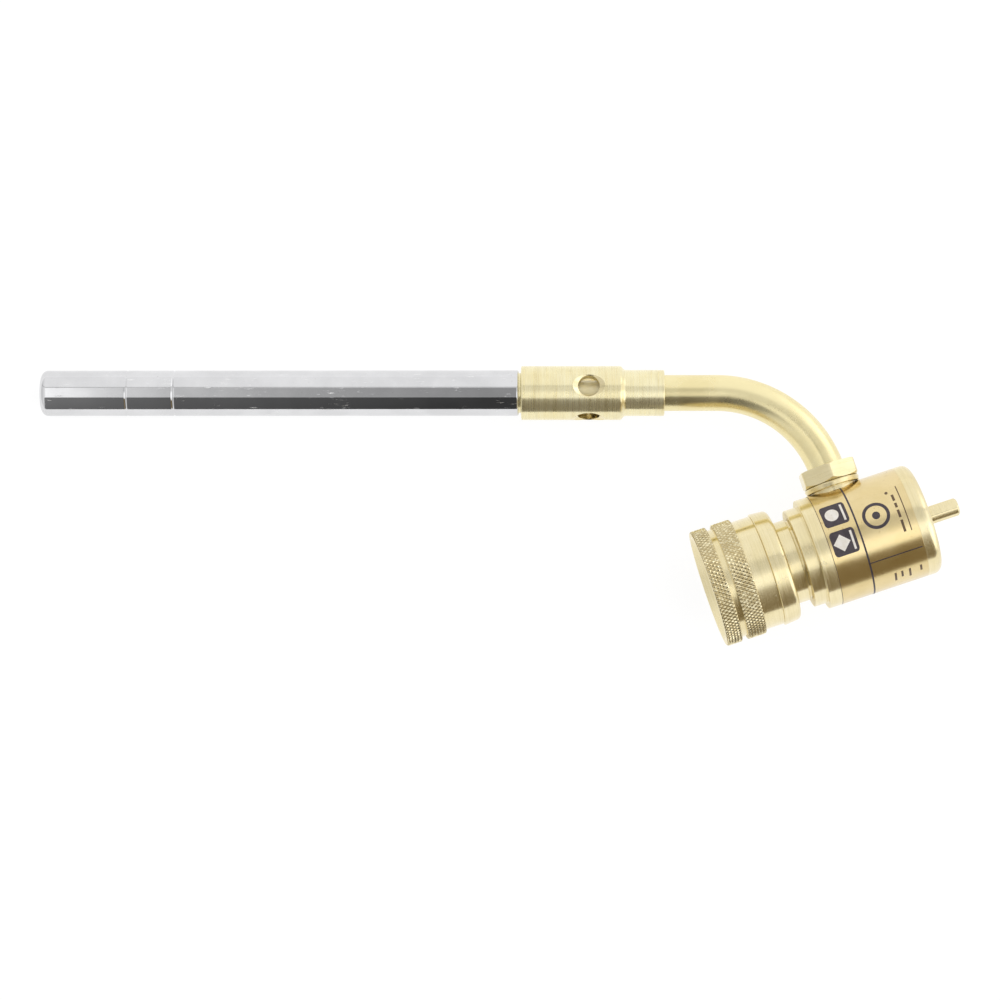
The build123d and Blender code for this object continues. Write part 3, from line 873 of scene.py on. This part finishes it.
def printed(name, grid, material, lift=PRINT_LIFT, joined=False):
    """A thin curved patch; grid is rows of (distance, arc from the vertical) in millimetres.

    joined is for a patch whose last row meets its first.
    """
    rows, columns = len(grid), len(grid[0])
    points, faces = [], []
    for radius in (body_r + lift, body_r - PRINT_SINK):
        for row in grid:
            for distance, arc in row:
                points.append(regulator.at(distance, radius, arc / body_r + VERTICAL))
    under = rows * columns
    for i in range(rows if joined else rows - 1):
        j = (i + 1) % rows
        for k in range(columns - 1):
            a, b = i * columns + k, i * columns + k + 1
            c, d = j * columns + k + 1, j * columns + k
            faces += [(a, d, c, b), (under + a, under + b, under + c, under + d)]
        a, d = i * columns, j * columns
        b, c = a + columns - 1, d + columns - 1
        faces += [(a, under + a, under + d, d), (b, c, under + c, under + b)]
    if joined:
        faces = [tuple(reversed(face)) for face in faces]
    else:
        last = (rows - 1) * columns
        for k in range(columns - 1):
            faces.append((k, k + 1, under + k + 1, under + k))
            a, b = last + k, last + k + 1
            faces.append((a, under + a, under + b, b))
    made = piece(name, points, faces, "regulator")
    made.data.materials.append(material)


def block(low, high, first, last, corner=0.0):
    """Rows over distances low..high and arcs first..last, with rounded corners."""
    rows = []
    for distance in run(low, high, 0.25):
        inside = min(distance - low, high - distance)
        cut = 0.0
        if inside < corner:
            cut = corner - math.sqrt(corner**2 - (corner - inside) ** 2)
        width = last - first - 2 * cut
        rows.append([(distance, first + cut + width * i / 10) for i in range(11)])
    return rows


def hoop(distance, arc, inner, outer):
    """Rows round a ring or, with a very small inner radius, a disc."""
    rows = []
    radii = run(inner, outer, 0.4)
    for i in range(HOOP_STEPS):
        a = TURN * i / HOOP_STEPS
        rows.append([(distance + r * math.cos(a), arc + r * math.sin(a)) for r in radii])
    return rows


ink = plain("label_ink", (0.060, 0.045, 0.055), (0.040, 0.030, 0.036), 0.0, 0.35, 700.0, 0.003)
thin_ink = plain("label_thin_ink", (0.16, 0.10, 0.045), (0.10, 0.06, 0.03), 0.0, 0.4, 700.0, 0.003)
pale = plain("label_pale", (0.86, 0.82, 0.76), (0.78, 0.73, 0.64), 0.0, 0.35, 700.0, 0.003)
upper_arc, lower_arc, square_half = 8.87, 0.37, 3.5
sign_at, bar_start, bar_end = 37.2, 40.0, 40.6
mark_at, mark_arc = 48.4, 4.6
dot_hole = 0.05  # a disc's inner radius
for mark, arc in (("upper", upper_arc), ("lower", lower_arc)):
    square = block(34.4, 41.4, arc - square_half, arc + square_half, corner=1.0)
    printed("label_square_" + mark, square, ink)
printed("label_disc", hoop(sign_at, upper_arc, dot_hole, 1.9), pale, OVERPRINT_LIFT, joined=True)
printed("label_disc_bar", block(bar_start, bar_end, 6.2, 11.5), pale, OVERPRINT_LIFT)
diamond = []
for distance in run(-2.35, 2.35, 0.2):
    half = 2.4 - abs(distance)
    diamond.append([(sign_at + distance, lower_arc + half * t) for t in run(-1, 1, 0.2)])
printed("label_diamond", diamond, pale, OVERPRINT_LIFT)
printed("label_diamond_bar", block(bar_start, bar_end, -2.3, 3.0), pale, OVERPRINT_LIFT)
around = [TURN * body_r * i / ROUND for i in range(ROUND)]
printed("label_ring", [[(42.45, arc), (42.95, arc)] for arc in around], ink, joined=True)
edge_line = [[(label_start, arc), (label_start + 0.15, arc)] for arc in around]
printed("label_edge", edge_line, thin_ink, joined=True)
printed("label_mark_ring", hoop(mark_at, mark_arc, 2.9, 3.8), ink, joined=True)
printed("label_mark_dot", hoop(mark_at, mark_arc, dot_hole, 1.1), ink, joined=True)
printed("label_dot", hoop(53.2, 10.1, dot_hole, 0.45), thin_ink, joined=True)
for i, (first, last) in enumerate(((-2.1, 1.3), (2.0, 4.2), (4.9, 6.3), (7.0, 9.0))):
    printed(f"label_dash_{i}", block(54.1, 54.8, first, last), thin_ink)
printed("label_rule", block(56.1, 56.4, -2.3, 11.5), thin_ink)
printed("label_line", block(42.6, 57.8, -7.8, -7.5), ink)
for i, (low, length) in enumerate(((48.7, 3.6), (50.6, 2.6), (52.8, 3.6), (56.0, 2.4))):
    printed(f"label_low_dash_{i}", block(low, low + 0.6, -13.6 - length, -13.6), thin_ink)

# ---- springs ----
COIL_STEPS, WIRE_STEPS = 40, 12  # to one turn of the coil, and round the wire
DEAD_COIL = 0.12  # the share of the wire at each end that doesn't rise


def spring(name, start, end, radius, wire, turns):
    """A wire spring with flat ends, on a mesh of its own."""
    total = turns * COIL_STEPS
    route = []
    for i in range(total + 1):
        t = i / total
        if t < DEAD_COIL:
            rise = 0
        elif t > 1 - DEAD_COIL:
            rise = 1
        else:
            rise = (t - DEAD_COIL) / (1 - 2 * DEAD_COIL)
        s = start + wire / 2 + (end - start - wire) * rise
        angle = t * turns * TURN
        route.append(regulator.at(s, radius, angle))
    points, faces = [], []
    for i, place in enumerate(route):
        way = (route[min(i + 1, total)] - route[max(i - 1, 0)]).normalized()
        offset = place - regulator.origin
        out = (offset - regulator.along * offset.dot(regulator.along)).normalized()
        over = way.cross(out).normalized()
        for step in range(WIRE_STEPS):
            a = TURN * step / WIRE_STEPS
            points.append(place + (out * math.cos(a) + over * math.sin(a)) * wire / 2 * MM)
    for i in range(total):
        near, far = i * WIRE_STEPS, (i + 1) * WIRE_STEPS
        for step in range(WIRE_STEPS):
            beside = (step + 1) % WIRE_STEPS
            faces.append((near + step, near + beside, far + beside, far + step))
    faces.append(tuple(reversed(range(WIRE_STEPS))))
    faces.append(tuple(total * WIRE_STEPS + step for step in range(WIRE_STEPS)))
    made = piece(name, points, faces, "regulator", smooth_below=60)
    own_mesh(made)
    return made


coil = spring(
    "control_spring_wire", plate_end, button_start, control_spring_r, control_wire, 3,
)
finished(coil, steel, "control_spring")
coil = spring(
    "poppet_spring_wire", filter_end, poppet_start, poppet_spring_r, poppet_wire, 7,
)
finished(coil, steel, "poppet_spring")

# ---- studio: world, floor, camera ----
world = bpy.data.worlds.new("studio")
bpy.context.scene.world = world
world.use_nodes = True
sky = Nodes(world.node_tree)
way = sky.add("ShaderNodeSeparateXYZ", sky.add("ShaderNodeTexCoord").outputs["Generated"])
TENT = 1.04  # the plain tent's brightness
# A direction's two level parts, to the right and the upper side of the photograph. The strips'
# places along them are fitted to the reflections that it shows.
right, up_side = way.outputs[0], way.outputs[1]
# Overhead: a dark strip that the burn tube mirrors, a bright one beside it and a soft slope.
over = sky.band(up_side, -0.37, 0.43, 0.05)
dim = sky.ramp(
    right,
    {
        -0.181: 1.36, -0.170: 1.16, -0.1665: 0.98, -0.160: 0.83, -0.147: 0.73,
        -0.10: 0.46, -0.04: 0.34, 0.0: 0.36, 0.09: 1.1,
    },
)
glow = sky.ramp(right, {0.06: TENT, 0.12: 1.22, 0.17: 1.55, 0.23: 1.55, 0.27: 1.2, 0.32: TENT})
slope = sky.ramp(right, {-0.85: 0.76, -0.3: TENT, 0.4: TENT, 0.85: 1.28})
tent = sky.mix(sky.band(up_side, -0.6, 0.0, 0.05), slope, glow)
tent = sky.mix(sky.ease(right, 0.32, 0.4), tent, slope)
light = sky.mix(over, tent, sky.mix(sky.ease(right, 0.04, 0.10), dim, tent))
light = sky.mix(sky.ease(right, -0.32, -0.18), slope, light)
# Towards the photograph's lower edge the tent opens to a darker room, brown on the right.
edge = sky.math("MULTIPLY_ADD", sky.math("MAXIMUM", right, 0.0), -0.25, -0.37)
below = sky.math("SUBTRACT", edge, up_side)
in_room = sky.math("MULTIPLY", sky.ease(below, -0.02, 0.03), sky.ease(right, -0.55, -0.35))
side_room = sky.ramp(
    right,
    {-0.3: 0.2, -0.175: 0.22, -0.147: 0.15, -0.10: 0.10, -0.04: 0.05, 0.06: 0.05, 0.2: 0.2},
)
side_room = sky.mix(sky.ease(right, 0.0, 0.20), side_room, rgb(0.23, 0.18, 0.105))
side_room = sky.mix(sky.ease(right, 0.6, 0.75), side_room, rgb(0.07, 0.06, 0.045))
light = sky.mix(in_room, light, side_room)
# A grey patch and the tent's seam, on its upper side.
cloud = sky.math("MULTIPLY", sky.band(up_side, 0.12, 0.46, 0.08), sky.ease(right, -0.01, 0.04))
light = sky.mix(sky.math("MULTIPLY", cloud, 0.45), light, rgb(0.45, 0.45, 0.45))
seam = sky.band(up_side, 0.455, 0.495, 0.02)
light = sky.mix(sky.math("MULTIPLY", seam, 0.8), light, rgb(0.3, 0.3, 0.3))
# The camera itself sees plain white, not the tent.
to_camera = sky.add("ShaderNodeLightPath").outputs["Is Camera Ray"]
light = sky.mix(to_camera, light, rgb(1.0, 1.0, 1.0))
background = sky.add("ShaderNodeBackground", light, 1.0)
sky.add("ShaderNodeOutputWorld", background.outputs[0])

FLOOR_SIZE, FLOOR_DROP = 6, 0.0001  # metres
bpy.ops.mesh.primitive_plane_add(size=FLOOR_SIZE, location=(0, 0, -FLOOR_DROP))
floor = bpy.context.object
floor.name = "floor"
floor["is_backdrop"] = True
paper = Finish("white_paper")
paper.set("Base Color", rgb(0.16, 0.16, 0.16))
paper.set("Emission Color", rgb(1.0, 1.0, 1.0))
paper.set("Emission Strength", 0.89)
paper.set("Roughness", 1.0)
floor.data.materials.append(paper.material)

PHOTO_FOCAL, SENSOR = 3.2129, 36.0  # the focal length is in frame widths
FROM_TIP_X, FROM_TIP_Y, HEIGHT = 127.39, -29.65, 900.0  # the camera's place, in millimetres
lens = bpy.data.cameras.new("camera")
lens.sensor_width, lens.lens = SENSOR, SENSOR * PHOTO_FOCAL
lens.clip_start, lens.clip_end = 0.05, 10
camera = bpy.data.objects.new("camera", lens)
bpy.context.scene.collection.objects.link(camera)
tip = burner.at(0)
camera.location = (tip.x + FROM_TIP_X * MM, tip.y + FROM_TIP_Y * MM, HEIGHT * MM)
bpy.context.scene.camera = camera
bpy.context.scene.view_settings.view_transform = "Standard"

low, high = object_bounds()
